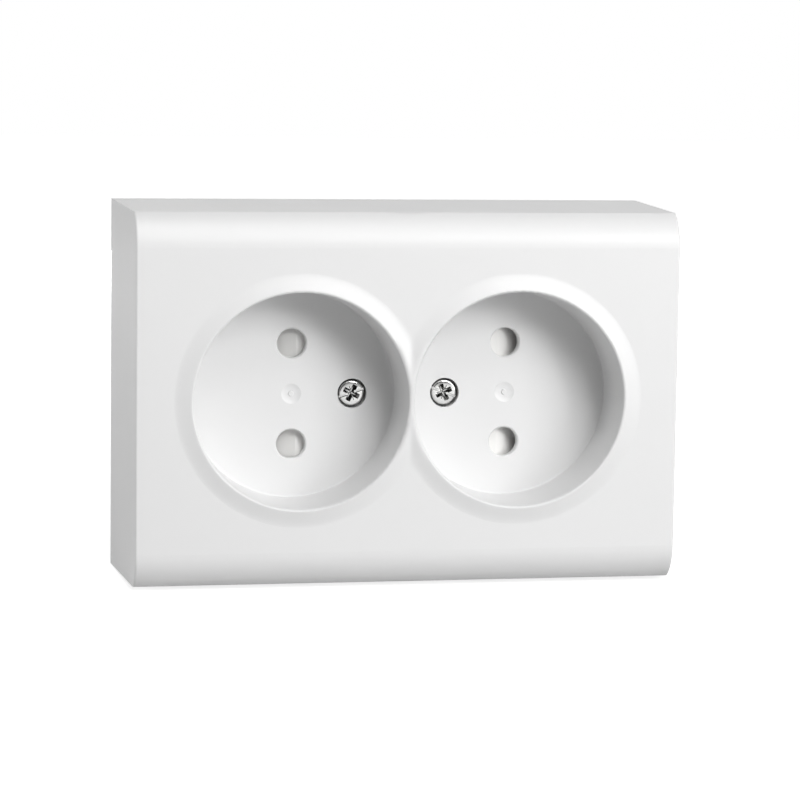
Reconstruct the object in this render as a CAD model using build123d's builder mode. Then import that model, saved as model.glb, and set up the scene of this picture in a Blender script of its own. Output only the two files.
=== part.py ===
"""Double two-pin wall socket for surface mounting, in millimetres.

X runs to the right seen from the front, Z runs up and the front looks along -Y. The origin is on the
wall, behind the middle of the socket. Heights are measured from the wall towards the front, so a
height h lies at Y = -h. Each well has its own inward direction, towards the middle of the socket.
"""

from build123d import *
from math import radians, tan
import os

os.makedirs("parts", exist_ok=True)

# Cover, outside
front_width = 102.0
front_height = 69.0
depth = 35.0
side_draft = 1.6
roll_height = 6.4
roll_depth = 3.6
side_edge_round = 0.4
cover_wall = 2.2

# Wells
well_spacing = 41.0
well_radius = 20.0
floor_radius = 19.6
well_depth = 12.2
floor_thickness = 1.7
floor_corner_round = 0.3
well_wall = 2.0
lip_rise = 0.8
lip_round = 0.4
collar_width = 3.5
crest_handle = 0.3
foot_handle = 0.8

# Pin holes and the mark between them
pin_spacing = 19.0
pin_hole_radius = 2.75
pin_hole_chamfer = 0.25
pin_radius = 2.4
pin_clearance = 0.2
mark_radius = 1.9
mark_depth = 0.25
nub_radius = 0.55
nub_rise = 0.2
nub_draft = 15

# Cover screws
screw_offset = 11.6
screw_head_radius = 2.5
screw_head_height = 1.7
screw_head_round = 0.5
screw_sink = 0.6
screw_radius = 1.45
screw_length = 11.0
counterbore_radius = 2.8
screw_hole_radius = 1.7
screw_boss_radius = 4.2
cross_width = 0.8
cross_span = 3.0
cross_depth = 0.9
cross_turn = 45
slot_width = 0.6
slot_depth = 0.5
slot_turns = {"left": 18, "right": -21}

# Shutters
shutter_thickness = 3.8
wing_half_width = 3.4
wing_half_length = 3.4
ridge_offset = 1.1
ramp_toe = 1.8
bridge_reach = 0.8
bridge_overlap = 0.85
channel_start = -2.2
channel_half_width = 1.7
channel_skin = 0.8
sliding_gap = 0.15
side_gap = 0.2
stop_gap = 0.1
shutter_travel = wing_half_length + pin_radius + pin_clearance

# Guides, stops and spring seats behind the well floors
rail_thickness = 1.2
rail_reach = 3.0
stop_thickness = 1.5
stop_half_width = 4.0
seat_reach = 4.6
seat_half_width = 2.2
peg_radius = 0.6
peg_length = 1.5
end_clearance = 0.2

# Shutter springs
spring_outer_radius = 1.3
spring_wire_radius = 0.16
spring_turns = 7
spring_sides = 6

# Shutter retainers and their screws
retainer_thickness = 1.4
retainer_outer_reach = 6.5
retainer_inner_reach = 6.6
retainer_corner = 2.0
retainer_hole_radius = 3.2
fixing_radius = 16.8
fixing_margin = 2.1
fixing_boss_radius = 2.1
fixing_hole_radius = 0.95
fixing_screw_radius = 0.9
fixing_screw_length = 4.6
fixing_head_radius = 1.7
fixing_head_height = 1.1

# Base
base_thickness = 2.0
base_fit = 0.3
base_rim_height = 8.0
base_rim_thickness = 1.6
base_corner = 2.0
wall_hole_spacing = 60.0
wall_hole_radius = 2.25
wall_slot_length = 8.0
wall_seat_margin = 1.8
wall_seat_height = 1.2
cable_hole_width = 26.0
cable_hole_height = 11.0
cable_hole_inset = 8.7
cable_notch_width = 14.0
breakout_height = 12.0
breakout_skin = 0.8

# Posts that take the cover screws, and their inserts
post_radius = 3.8
post_gap = 0.1
insert_radius = 2.25
insert_length = 6.0
insert_fit = 0.05
thread_fit = 0.05
tip_room = 1.5
tip_hole_radius = 1.7
web_thickness = 1.6
web_height = 7.0

# Pole strips with their contact leaves
strip_thickness = 0.8
strip_width = 6.6
leaf_width = 5.2
leaf_sink = 0.4
leaf_tip_half_gap = 2.6
neck_drop = 2.8
neck_half_gap = 1.8
leaf_shoulder_height = 5.0
strip_end_reach = 3.6
plateau_height = 5.6
plateau_half_length = 11.5
plateau_ramp = 3.2
bend_radius = 0.9

# Contact chambers of the base
chamber_half_length = 4.0
chamber_half_width = 3.9
chamber_wall = 1.0
chamber_gap = 0.3

# Steel clips round the contact leaves
clip_thickness = 0.4
clip_height = 1.2
clip_drop = 0.9
clip_gap = 0.15
clip_spread_gap = 0.045
clip_opening = 2.0

# Terminals
terminal_offset = 5.5
terminal_screw_radius = 1.7
terminal_head_radius = 3.1
terminal_head_height = 2.2
terminal_tip_height = 2.9
terminal_slot_width = 0.9
terminal_slot_depth = 1.0
tapped_hole_radius = 1.75
plate_hole_radius = 1.9
plate_thickness = 1.0
plate_length = 7.2
plate_lip_drop = 1.2
support_width = 5.8
support_end_gap = 1.0
support_hole_radius = 2.2

# Cable clamp
clamp_inset = 8.7
clamp_screw_spacing = 17.0
clamp_length = 23.0
clamp_width = 7.0
clamp_thickness = 2.6
clamp_tooth_depth = 0.8
clamp_tooth_width = 1.8
clamp_tooth_pitch = 2.2
clamp_tooth_reach = 3.0
clamp_boss_radius = 3.0
clamp_boss_height = 5.5
clamp_screw_radius = 1.3
clamp_screw_fit = 0.1
clamp_head_radius = 2.6
clamp_head_height = 1.8
clamp_screw_depth = 4.0

# Stiffening ribs of the cover
rib_thickness = 1.2
rib_setback = 4.0

# Worked out from the sizes above
half_width = front_width / 2
half_height = front_height / 2
slope = tan(radians(side_draft))
well_x = well_spacing / 2
pin_z = pin_spacing / 2
floor_top = depth - well_depth
floor_under = floor_top - floor_thickness
lip_top = depth + lip_rise
collar_radius = well_radius + collar_width
screw_seat = floor_top - screw_sink - screw_head_height
shutter_top = floor_under - sliding_gap
shutter_bottom = shutter_top - shutter_thickness
retainer_top = shutter_bottom - sliding_gap
retainer_bottom = retainer_top - retainer_thickness
wing_outer = pin_z + wing_half_width
wing_inner = pin_z - wing_half_width
rail_inner = wing_outer + side_gap
seat_face = screw_offset - seat_reach
bridge_half_width = wing_inner + bridge_overlap
screw_x = well_x - screw_offset
post_top = shutter_bottom - post_gap
insert_bottom = post_top - insert_length
plateau_top = plateau_height + strip_thickness
plate_top = plateau_top + plate_thickness
base_half_width = half_width + slope * (depth - base_rim_height) - cover_wall - base_fit
base_half_height = (
    half_height + slope * (depth - roll_depth - base_rim_height) - cover_wall - base_fit
)
cable_hole_offset = base_half_height - cable_hole_inset
clamp_offset = base_half_height - clamp_inset
chamber_height = retainer_bottom - fixing_head_height - chamber_gap
leaf_tip_height = chamber_height - leaf_sink
neck_height = leaf_tip_height - neck_drop
fused = 0.2

# Side of each well, and the terminals and poles by their signs
well_sides = {"left": -1, "right": 1}
pole_sides = {"upper": 1, "lower": -1}


def face_plane(height, x=0.0, z=0.0):
    """Plane parallel to the wall, seen from the front."""
    return Plane(origin=(x, -height, z), x_dir=(1, 0, 0), z_dir=(0, -1, 0))


def well_plane(side, height):
    """Plane parallel to the wall whose local x runs inwards from a well's centre."""
    return Plane(origin=(side * well_x, -height, 0), x_dir=(-side, 0, 0), z_dir=(0, -1, 0))


def along_plane(x=0.0, z=0.0, inward=1):
    """Plane for profiles drawn along X, with height above the wall upwards."""
    return Plane(origin=(x, 0, z), x_dir=(inward, 0, 0), z_dir=(0, 0, -inward))


def across_plane(x=0.0, z=0.0):
    """Plane for profiles drawn along Z, with height above the wall upwards."""
    return Plane(origin=(x, 0, z), x_dir=(0, 0, 1), z_dir=(1, 0, 0))


def side_profile(shrink, back):
    """Section across the height: rolled long edges and drafted faces, inside the skin by shrink."""
    roll_start = half_height - roll_height
    back_half_height = half_height + slope * (depth - roll_depth - back)
    with BuildSketch(Plane.YZ) as profile:
        with BuildLine():
            front = Line((-depth, -roll_start), (-depth, roll_start))
            upper_roll = TangentArc(front @ 1, (roll_depth - depth, half_height), tangent=front % 1)
            top = Line(upper_roll @ 1, (-back, back_half_height))
            rear = Line(top @ 1, (-back, -back_half_height))
            bottom = Line(rear @ 1, (roll_depth - depth, -half_height))
            TangentArc(front @ 0, bottom @ 1, tangent=(0, -1))
        make_face()
        if shrink > 0:
            offset(amount=-shrink)
    return profile.sketch


def plan_profile(shrink, back):
    """Section across the width: drafted ends, inside the skin by shrink."""
    back_half_width = half_width + slope * (depth - back)
    with BuildSketch(Plane.XY) as profile:
        with BuildLine():
            Polyline(
                (-half_width, -depth),
                (half_width, -depth),
                (back_half_width, -back),
                (-back_half_width, -back),
                close=True,
            )
        make_face()
        if shrink > 0:
            offset(amount=-shrink)
    return profile.sketch


def revolve_about_well(side):
    """Turn the pending profile about the axis of a well."""
    revolve(axis=Axis((side * well_x, 0, 0), (0, -1, 0)))


# Space inside the cover, one wall thickness inside its skin and open to the wall
with BuildPart() as cover_hollow:
    extrude(side_profile(cover_wall, -2 * cover_wall), amount=front_width, both=True)
    extrude(
        plan_profile(cover_wall, -2 * cover_wall),
        amount=front_height,
        both=True,
        mode=Mode.INTERSECT,
    )

# Space in front of each well floor, with the slight taper of a moulded pocket
with BuildPart() as well_pockets:
    for side in well_sides.values():
        with BuildSketch(along_plane(x=side * well_x)):
            with BuildLine():
                Polyline(
                    (0, floor_top),
                    (floor_radius, floor_top),
                    (well_radius, lip_top - lip_round),
                    (well_radius, lip_top + lip_rise),
                    (0, lip_top + lip_rise),
                    close=True,
                )
            make_face()
            corner = vertices().group_by(Axis.Y)[0].sort_by(Axis.X)[-1]
            fillet(corner, floor_corner_round)
        revolve_about_well(side)

# Cover: one moulding with both wells
with BuildPart() as cover:
    extrude(side_profile(0, 0), amount=front_width, both=True)
    extrude(plan_profile(0, 0), amount=front_height, both=True, mode=Mode.INTERSECT)
    for side_face in (faces().sort_by(Axis.X)[0], faces().sort_by(Axis.X)[-1]):
        front_edges = side_face.edges().filter_by(lambda e: e.center().Y < -depth + roll_depth)
        fillet(front_edges, side_edge_round)
    add(cover_hollow.part, mode=Mode.SUBTRACT)

    # Raised collars that blend into the front, and the outer walls of the wells
    for side in well_sides.values():
        with BuildSketch(along_plane(x=side * well_x)):
            with BuildLine():
                inner = Line((well_radius, depth - lip_rise), (well_radius, lip_top - lip_round))
                crest = TangentArc(inner @ 1, (well_radius + lip_round, lip_top), tangent=(0, 1))
                flank = Bezier(
                    crest @ 1,
                    (well_radius + lip_round + crest_handle, lip_top),
                    (collar_radius - foot_handle, depth),
                    (collar_radius, depth),
                )
                Polyline(flank @ 1, (collar_radius, depth - lip_rise), inner @ 0)
            make_face()
        revolve_about_well(side)
    with BuildSketch(face_plane(floor_under)):
        with Locations((-well_x, 0), (well_x, 0)):
            Circle(well_radius + well_wall)
    extrude(amount=well_depth + floor_thickness - cover_wall / 2)

    # Ribs from the wells to the skirt
    rib_bottom = floor_under + rib_setback
    for side in well_sides.values():
        for up in pole_sides.values():
            with BuildSketch(across_plane(x=side * well_x)):
                with BuildLine():
                    Polyline(
                        (up * (well_radius + well_wall / 2), rib_bottom),
                        (up * (half_height - cover_wall / 2), rib_bottom + rib_setback),
                        (up * (half_height - cover_wall / 2), depth - roll_depth),
                        (up * (well_radius + well_wall / 2), depth - cover_wall / 2),
                        close=True,
                    )
                make_face()
            extrude(amount=rib_thickness / 2, both=True)

    # Screw bosses, rails, stops, spring seats and fixing bosses behind each floor
    for side in well_sides.values():
        with BuildSketch(well_plane(side, shutter_bottom)):
            with Locations((screw_offset, 0)):
                Circle(screw_boss_radius)
            with Locations(((seat_face + screw_offset) / 2, 0)):
                Rectangle(screw_offset - seat_face, 2 * seat_half_width)
        extrude(amount=shutter_thickness + sliding_gap + fused)
        rail_start = -wing_half_length - rail_reach
        rail_end = wing_half_length + shutter_travel + end_clearance
        with BuildSketch(well_plane(side, retainer_top)):
            for up in pole_sides.values():
                with Locations(((rail_start + rail_end) / 2, up * (rail_inner + rail_thickness / 2))):
                    Rectangle(rail_end - rail_start, rail_thickness)
            with Locations((-wing_half_length - stop_gap - stop_thickness / 2, 0)):
                Rectangle(stop_thickness, 2 * stop_half_width)
            with Locations((0, fixing_radius), (0, -fixing_radius)):
                Circle(fixing_boss_radius)
        extrude(amount=shutter_thickness + 2 * sliding_gap + fused)
        peg_height = shutter_bottom + (shutter_thickness - channel_skin) / 2
        peg_plane = Plane(
            origin=(side * (well_x - seat_face), -peg_height, 0),
            x_dir=(0, 0, 1),
            z_dir=(side, 0, 0),
        )
        with BuildSketch(peg_plane):
            Circle(peg_radius)
        extrude(amount=peg_length)

    add(well_pockets.part, mode=Mode.SUBTRACT)

    # Pin holes, counterbored screw holes and the mark between the pins
    for side in well_sides.values():
        with BuildSketch(well_plane(side, floor_top)):
            with Locations((0, pin_z), (0, -pin_z)):
                Circle(pin_hole_radius)
        extrude(amount=-floor_thickness - fused, mode=Mode.SUBTRACT)
        with BuildSketch(well_plane(side, floor_top)):
            with Locations((screw_offset, 0)):
                Circle(counterbore_radius)
        extrude(amount=screw_seat - floor_top, mode=Mode.SUBTRACT)
        with BuildSketch(well_plane(side, floor_top)):
            with Locations((screw_offset, 0)):
                Circle(screw_hole_radius)
        extrude(amount=shutter_bottom - floor_top - fused, mode=Mode.SUBTRACT)
        with BuildSketch(well_plane(side, retainer_top)):
            with Locations((0, fixing_radius), (0, -fixing_radius)):
                Circle(fixing_hole_radius)
        extrude(amount=shutter_thickness, mode=Mode.SUBTRACT)
        with BuildSketch(along_plane(x=side * well_x)):
            with BuildLine():
                dish = Line((0, floor_top - mark_depth), (nub_radius, floor_top - mark_depth))
                bowl = TangentArc(dish @ 1, (mark_radius, floor_top), tangent=(1, 0))
                Polyline(bowl @ 1, (0, floor_top), dish @ 0)
            make_face()
        revolve(axis=Axis((side * well_x, 0, 0), (0, -1, 0)), mode=Mode.SUBTRACT)
        with BuildSketch(well_plane(side, floor_top - mark_depth - fused)):
            Circle(nub_radius)
        extrude(amount=nub_rise + fused, taper=nub_draft)
    hole_rims = edges().filter_by(GeomType.CIRCLE).filter_by(
        lambda e: abs(e.radius - pin_hole_radius) < 0.01 and abs(e.center().Y + floor_top) < 0.01
    )
    chamfer(hole_rims, pin_hole_chamfer)

    # Thin panel in the lower skirt that is broken out for a surface cable
    panel_z = half_height + slope * (depth - roll_depth - breakout_height) - breakout_skin
    with BuildSketch(face_plane(-fused)):
        with Locations((0, -panel_z)):
            Rectangle(cable_notch_width, 2 * cover_wall, align=(Align.CENTER, Align.MIN))
    extrude(amount=breakout_height + fused, mode=Mode.SUBTRACT)
cover.part.label = "cover"
export_step(cover.part, "parts/cover.step")

# Base: tray with posts, contact chambers, terminal supports and cable bosses
with BuildPart() as base:
    with BuildSketch(face_plane(0)):
        RectangleRounded(2 * base_half_width, 2 * base_half_height, base_corner)
    extrude(amount=base_thickness)
    with BuildSketch(face_plane(0)):
        RectangleRounded(2 * base_half_width, 2 * base_half_height, base_corner)
        offset(amount=-base_rim_thickness, mode=Mode.SUBTRACT)
        with Locations((0, -base_half_height)):
            Rectangle(cable_notch_width, 2 * base_corner, mode=Mode.SUBTRACT)
    extrude(amount=base_rim_height)

    # Seats round the wall slots
    with BuildSketch(face_plane(base_thickness - fused)):
        with Locations((-wall_hole_spacing / 2, 0), (wall_hole_spacing / 2, 0)):
            SlotOverall(
                wall_slot_length + 2 * wall_seat_margin, 2 * (wall_hole_radius + wall_seat_margin)
            )
    extrude(amount=wall_seat_height + fused)

    # Chambers round the contacts, open towards the middle so that a strip drops in from the front
    with BuildSketch(face_plane(base_thickness - fused)):
        for side in well_sides.values():
            for up in pole_sides.values():
                with Locations((side * well_x, up * pin_z)):
                    Rectangle(
                        2 * (chamber_half_length + chamber_wall), 2 * (chamber_half_width + chamber_wall)
                    )
                    Rectangle(2 * chamber_half_length, 2 * chamber_half_width, mode=Mode.SUBTRACT)
                with Locations((side * (well_x - chamber_half_length - chamber_wall / 2), up * pin_z)):
                    Rectangle(2 * chamber_wall, strip_width + 2 * side_gap, mode=Mode.SUBTRACT)
    extrude(amount=chamber_height - base_thickness + fused)

    # Blocks under the raised middle of each pole strip
    with BuildSketch(face_plane(base_thickness - fused)):
        for up in pole_sides.values():
            with Locations((0, up * pin_z)):
                Rectangle(2 * (plateau_half_length - support_end_gap), support_width)
    extrude(amount=plateau_height - base_thickness + fused)

    # Posts joined by a web, with a bore for the insert and for the tip of the screw
    with BuildSketch(face_plane(base_thickness - fused)):
        with Locations((-screw_x, 0), (screw_x, 0)):
            Circle(post_radius)
    extrude(amount=post_top - base_thickness + fused)
    with BuildSketch(face_plane(base_thickness - fused)):
        Rectangle(2 * screw_x, web_thickness)
    extrude(amount=web_height + fused)

    # Bosses under the cable clamp
    with BuildSketch(face_plane(base_thickness - fused)):
        with Locations((-clamp_screw_spacing / 2, -clamp_offset), (clamp_screw_spacing / 2, -clamp_offset)):
            Circle(clamp_boss_radius)
    extrude(amount=clamp_boss_height - base_thickness + fused)

    # Holes for the wall screws, the cable, the inserts, the terminals and the clamp
    with BuildSketch(face_plane(-fused)):
        with Locations((-wall_hole_spacing / 2, 0), (wall_hole_spacing / 2, 0)):
            SlotOverall(wall_slot_length, 2 * wall_hole_radius)
        with Locations((0, cable_hole_offset)):
            SlotOverall(cable_hole_width, cable_hole_height)
    extrude(amount=base_thickness + wall_seat_height + 2 * fused, mode=Mode.SUBTRACT)
    with BuildSketch(face_plane(insert_bottom - thread_fit)):
        with Locations((-screw_x, 0), (screw_x, 0)):
            Circle(insert_radius + insert_fit)
    extrude(amount=insert_length + 2 * fused, mode=Mode.SUBTRACT)
    with BuildSketch(face_plane(screw_seat - screw_length - tip_room)):
        with Locations((-screw_x, 0), (screw_x, 0)):
            Circle(tip_hole_radius)
    extrude(amount=screw_length, mode=Mode.SUBTRACT)
    with BuildSketch(face_plane(base_thickness)):
        for up in pole_sides.values():
            with Locations((-terminal_offset, up * pin_z), (terminal_offset, up * pin_z)):
                Circle(support_hole_radius)
    extrude(amount=plateau_height, mode=Mode.SUBTRACT)
    with BuildSketch(face_plane(clamp_boss_height - clamp_screw_depth - fused)):
        with Locations((-clamp_screw_spacing / 2, -clamp_offset), (clamp_screw_spacing / 2, -clamp_offset)):
            Circle(clamp_screw_radius + thread_fit)
    extrude(amount=clamp_screw_depth + 2 * fused, mode=Mode.SUBTRACT)
base.part.label = "base"
export_step(base.part, "parts/base.step")

# Shutters: two ramped wings on a bridge, pushed inwards by both pins together
for name, side in well_sides.items():
    with BuildPart() as shutter:
        with BuildSketch(along_plane(x=side * well_x, inward=-side)):
            with BuildLine():
                Polyline(
                    (-wing_half_length, shutter_bottom),
                    (wing_half_length, shutter_bottom),
                    (wing_half_length, shutter_top),
                    (ridge_offset, shutter_top),
                    (-wing_half_length, shutter_bottom + ramp_toe),
                    close=True,
                )
            make_face()
        extrude(amount=wing_outer, both=True)
        with BuildSketch(well_plane(side, shutter_bottom)):
            with Locations((wing_half_length, 0)):
                Rectangle(
                    wing_half_length - bridge_reach, 2 * bridge_half_width, align=(Align.MAX, Align.CENTER)
                )
        extrude(amount=shutter_thickness, mode=Mode.SUBTRACT)
        with BuildSketch(well_plane(side, shutter_bottom)):
            with Locations((-wing_half_length, 0)):
                Rectangle(
                    wing_half_length + bridge_reach, 2 * bridge_half_width, align=(Align.MIN, Align.CENTER)
                )
        extrude(amount=shutter_thickness)
        with BuildSketch(well_plane(side, shutter_bottom)):
            with Locations((channel_start, 0)):
                Rectangle(
                    bridge_reach - channel_start, 2 * channel_half_width, align=(Align.MIN, Align.CENTER)
                )
        extrude(amount=shutter_thickness - channel_skin, mode=Mode.SUBTRACT)
    shutter.part.label = f"shutter_{name}"
    export_step(shutter.part, f"parts/shutter_{name}.step")

# Springs between each shutter and its seat
spring_start = channel_start + spring_wire_radius
spring_end = seat_face - spring_wire_radius
spring_height = shutter_bottom + (shutter_thickness - channel_skin) / 2
spring_radius = spring_outer_radius - spring_wire_radius
spring_pitch = (spring_end - spring_start) / spring_turns
for name, side in well_sides.items():
    with BuildPart() as spring:
        with BuildLine():
            coil = Helix(
                spring_pitch,
                spring_end - spring_start,
                spring_radius,
                center=(side * (well_x - spring_start), -spring_height, 0),
                direction=(-side, 0, 0),
            )
        with BuildSketch(Plane(origin=coil @ 0, z_dir=coil % 0)):
            RegularPolygon(spring_wire_radius, spring_sides)
        sweep(path=coil, is_frenet=True)
    spring.part.label = f"shutter_spring_{name}"
    export_step(spring.part, f"parts/shutter_spring_{name}.step")

# Retainers that hold the shutters against the floors
retainer_half_height = fixing_radius + fixing_margin
for name, side in well_sides.items():
    with BuildPart() as retainer:
        with BuildSketch(well_plane(side, retainer_bottom)):
            with Locations(((retainer_inner_reach - retainer_outer_reach) / 2, 0)):
                RectangleRounded(
                    retainer_inner_reach + retainer_outer_reach, 2 * retainer_half_height, retainer_corner
                )
            with Locations((0, pin_z), (0, -pin_z)):
                Circle(retainer_hole_radius, mode=Mode.SUBTRACT)
            with Locations((0, fixing_radius), (0, -fixing_radius)):
                Circle(fixing_screw_radius + clamp_screw_fit, mode=Mode.SUBTRACT)
        extrude(amount=retainer_thickness)
    retainer.part.label = f"shutter_retainer_{name}"
    export_step(retainer.part, f"parts/shutter_retainer_{name}.step")

    with BuildPart() as retainer_screws:
        with BuildSketch(well_plane(side, retainer_bottom - fixing_head_height)):
            with Locations((0, fixing_radius), (0, -fixing_radius)):
                Circle(fixing_head_radius)
        extrude(amount=fixing_head_height)
        with BuildSketch(well_plane(side, retainer_bottom)):
            with Locations((0, fixing_radius), (0, -fixing_radius)):
                Circle(fixing_screw_radius)
        extrude(amount=fixing_screw_length)
        with BuildSketch(well_plane(side, retainer_bottom - fixing_head_height)):
            with Locations((0, fixing_radius), (0, -fixing_radius)):
                Rectangle(2 * fixing_head_radius, slot_width)
        extrude(amount=slot_depth, mode=Mode.SUBTRACT)
    retainer_screws.part.label = f"retainer_screws_{name}"
    export_step(retainer_screws.part, f"parts/retainer_screws_{name}.step")

# Pole strips: one folded sheet for each pole, with a pair of leaves at each end
leaf_middle = strip_thickness / 2
leaf_foot = strip_width / 2 - leaf_middle
for name, up in pole_sides.items():
    with BuildPart() as strip:
        low = base_thickness + leaf_middle
        high = plateau_height + leaf_middle
        strip_end = well_x + strip_end_reach
        with BuildSketch(along_plane(z=up * pin_z)):
            with BuildLine():
                FilletPolyline(
                    (-strip_end, low),
                    (-plateau_half_length - plateau_ramp, low),
                    (-plateau_half_length, high),
                    (plateau_half_length, high),
                    (plateau_half_length + plateau_ramp, low),
                    (strip_end, low),
                    radius=bend_radius,
                )
            trace(line_width=strip_thickness)
        extrude(amount=strip_width / 2, both=True)
        for side in well_sides.values():
            with BuildSketch(across_plane(x=side * well_x, z=up * pin_z)):
                with BuildLine():
                    FilletPolyline(
                        (-leaf_tip_half_gap - leaf_middle, leaf_tip_height),
                        (-neck_half_gap - leaf_middle, neck_height),
                        (-leaf_foot, leaf_shoulder_height),
                        (-leaf_foot, low),
                        (leaf_foot, low),
                        (leaf_foot, leaf_shoulder_height),
                        (neck_half_gap + leaf_middle, neck_height),
                        (leaf_tip_half_gap + leaf_middle, leaf_tip_height),
                        radius=bend_radius,
                    )
                trace(line_width=strip_thickness)
            extrude(amount=leaf_width / 2, both=True)
        with BuildSketch(face_plane(plateau_height - fused)):
            with Locations((-terminal_offset, up * pin_z), (terminal_offset, up * pin_z)):
                Circle(tapped_hole_radius)
        extrude(amount=strip_thickness + 2 * fused, mode=Mode.SUBTRACT)
    strip.part.label = f"pole_strip_{name}"
    export_step(strip.part, f"parts/pole_strip_{name}.step")

# Steel clips that press each pair of leaves together at the neck
leaf_slope = (leaf_foot - neck_half_gap - leaf_middle) / (neck_height - leaf_shoulder_height)
clip_inner_z = neck_half_gap + strip_thickness + leaf_slope * clip_drop + clip_spread_gap
clip_inner_x = leaf_width / 2 + clip_gap
for pole_name, up in pole_sides.items():
    for side_name, side in well_sides.items():
        with BuildPart() as clip:
            with BuildSketch(face_plane(neck_height - clip_drop, side * well_x, up * pin_z)):
                RectangleRounded(
                    2 * (clip_inner_x + clip_thickness), 2 * (clip_inner_z + clip_thickness), clip_thickness
                )
                Rectangle(2 * clip_inner_x, 2 * clip_inner_z, mode=Mode.SUBTRACT)
                with Locations((side * (clip_inner_x + clip_thickness / 2), 0)):
                    Rectangle(2 * clip_thickness, clip_opening, mode=Mode.SUBTRACT)
            extrude(amount=clip_height)
        clip.part.label = f"contact_clip_{pole_name}_{side_name}"
        export_step(clip.part, f"parts/contact_clip_{pole_name}_{side_name}.step")

# Terminals: a pressure plate with a turned-down lip, and its screw
for pole_name, up in pole_sides.items():
    for side_name, side in well_sides.items():
        x = side * terminal_offset
        with BuildPart() as plate:
            plate_middle = plateau_top + plate_thickness / 2
            lip_z = strip_width / 2 + side_gap + plate_thickness / 2
            with BuildSketch(across_plane(x=x, z=up * pin_z)):
                with BuildLine():
                    FilletPolyline(
                        (-up * strip_width / 2, plate_middle),
                        (up * lip_z, plate_middle),
                        (up * lip_z, plateau_top - plate_lip_drop),
                        radius=plate_thickness / 2 + fused,
                    )
                trace(line_width=plate_thickness)
            extrude(amount=plate_length / 2, both=True)
            with BuildSketch(face_plane(plateau_top - fused, x, up * pin_z)):
                Circle(plate_hole_radius)
            extrude(amount=plate_thickness + 2 * fused, mode=Mode.SUBTRACT)
        plate.part.label = f"terminal_plate_{pole_name}_{side_name}"
        export_step(plate.part, f"parts/terminal_plate_{pole_name}_{side_name}.step")

        with BuildPart() as terminal_screw:
            with BuildSketch(face_plane(terminal_tip_height, x, up * pin_z)):
                Circle(terminal_screw_radius)
            extrude(amount=plate_top - terminal_tip_height)
            with BuildSketch(face_plane(plate_top, x, up * pin_z)):
                Circle(terminal_head_radius)
            extrude(amount=terminal_head_height)
            with BuildSketch(face_plane(plate_top + terminal_head_height, x, up * pin_z)):
                Rectangle(2 * terminal_head_radius, terminal_slot_width)
            extrude(amount=-terminal_slot_depth, mode=Mode.SUBTRACT)
        terminal_screw.part.label = f"terminal_screw_{pole_name}_{side_name}"
        export_step(terminal_screw.part, f"parts/terminal_screw_{pole_name}_{side_name}.step")

# Cover screws with a cross and slot, and the inserts that they turn in
for name, side in well_sides.items():
    with BuildPart() as cover_screw:
        with BuildSketch(face_plane(screw_seat - screw_length, side * screw_x)):
            Circle(screw_radius)
        extrude(amount=screw_length)
        with BuildSketch(face_plane(screw_seat, side * screw_x)):
            Circle(screw_head_radius)
        extrude(amount=screw_head_height)
        fillet(edges().group_by(Axis.Y)[0], screw_head_round)
        with BuildSketch(face_plane(screw_seat + screw_head_height, side * screw_x)):
            Rectangle(cross_span, cross_width, rotation=slot_turns[name] + cross_turn)
            Rectangle(cross_width, cross_span, rotation=slot_turns[name] + cross_turn)
        extrude(amount=-cross_depth, mode=Mode.SUBTRACT)
        with BuildSketch(face_plane(screw_seat + screw_head_height, side * screw_x)):
            Rectangle(2 * screw_head_radius, slot_width, rotation=slot_turns[name])
        extrude(amount=-slot_depth, mode=Mode.SUBTRACT)
    cover_screw.part.label = f"cover_screw_{name}"
    export_step(cover_screw.part, f"parts/cover_screw_{name}.step")

    with BuildPart() as insert:
        with BuildSketch(face_plane(insert_bottom, side * screw_x)):
            Circle(insert_radius)
            Circle(screw_radius + thread_fit, mode=Mode.SUBTRACT)
        extrude(amount=insert_length)
    insert.part.label = f"threaded_insert_{name}"
    export_step(insert.part, f"parts/threaded_insert_{name}.step")

# Cable clamp with gripping teeth, and its two screws
clamp_top = clamp_boss_height + clamp_thickness
with BuildPart() as cable_clamp:
    with BuildSketch(face_plane(clamp_boss_height, 0, -clamp_offset)):
        RectangleRounded(clamp_length, clamp_width, clamp_width / 2 - fused)
        with Locations((-clamp_screw_spacing / 2, 0), (clamp_screw_spacing / 2, 0)):
            Circle(clamp_screw_radius + clamp_screw_fit, mode=Mode.SUBTRACT)
    extrude(amount=clamp_thickness)
    with BuildSketch(across_plane(z=-clamp_offset)):
        for step in (-1, 0, 1):
            with BuildLine(Location((step * clamp_tooth_pitch, clamp_boss_height))):
                Polyline(
                    (-clamp_tooth_width / 2, 0),
                    (0, -clamp_tooth_depth),
                    (clamp_tooth_width / 2, 0),
                    (0, fused),
                    close=True,
                )
            make_face()
    extrude(amount=clamp_tooth_reach, both=True)
cable_clamp.part.label = "cable_clamp"
export_step(cable_clamp.part, "parts/cable_clamp.step")

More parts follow.
